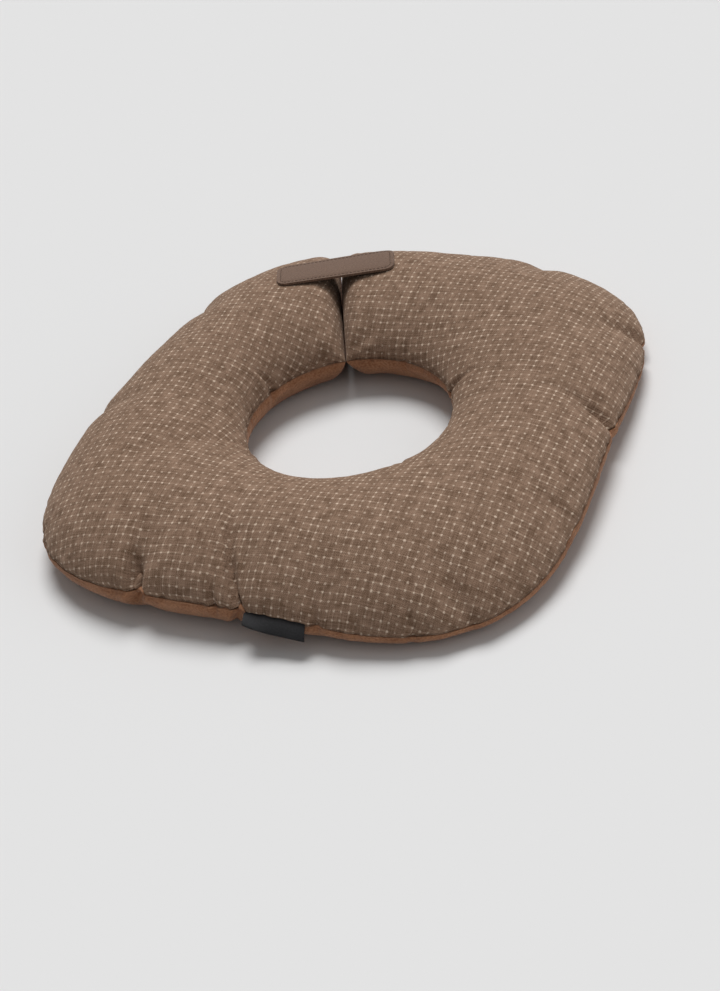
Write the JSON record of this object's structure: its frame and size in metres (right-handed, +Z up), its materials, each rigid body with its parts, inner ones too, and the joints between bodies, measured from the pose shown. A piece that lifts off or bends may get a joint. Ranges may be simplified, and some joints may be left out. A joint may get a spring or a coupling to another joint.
{
  "type": "soft padded elizabethan collar",
  "caption": "Soft stuffed recovery collar for a dog: a rounded-square padded ring with a round neck hole, two fabric covers, a side label and a nape strap.",
  "frame": {"origin": "middle of the whole collar's box in plan, on the surface that it lies on", "axes": "+Z up through the neck hole, +Y towards the back edge with the closing slit, +X to the right seen from the front with the label"},
  "size_m": [0.4054, 0.445, 0.0598],
  "materials": {
    "upper_fabric": "matt woven cotton, taupe with a fine cream check",
    "lower_fabric": "matt woven cotton, rust brown",
    "label_tape": "matt woven tape, near black, bare",
    "strap_webbing": "matt woven webbing, brown"
  },
  "bodies": {
    "root": {"upper_cover": "upper_fabric", "lower_cover": "lower_fabric", "side_label": "label_tape", "closing_strap": "strap_webbing"}
  },
  "joints": []
}
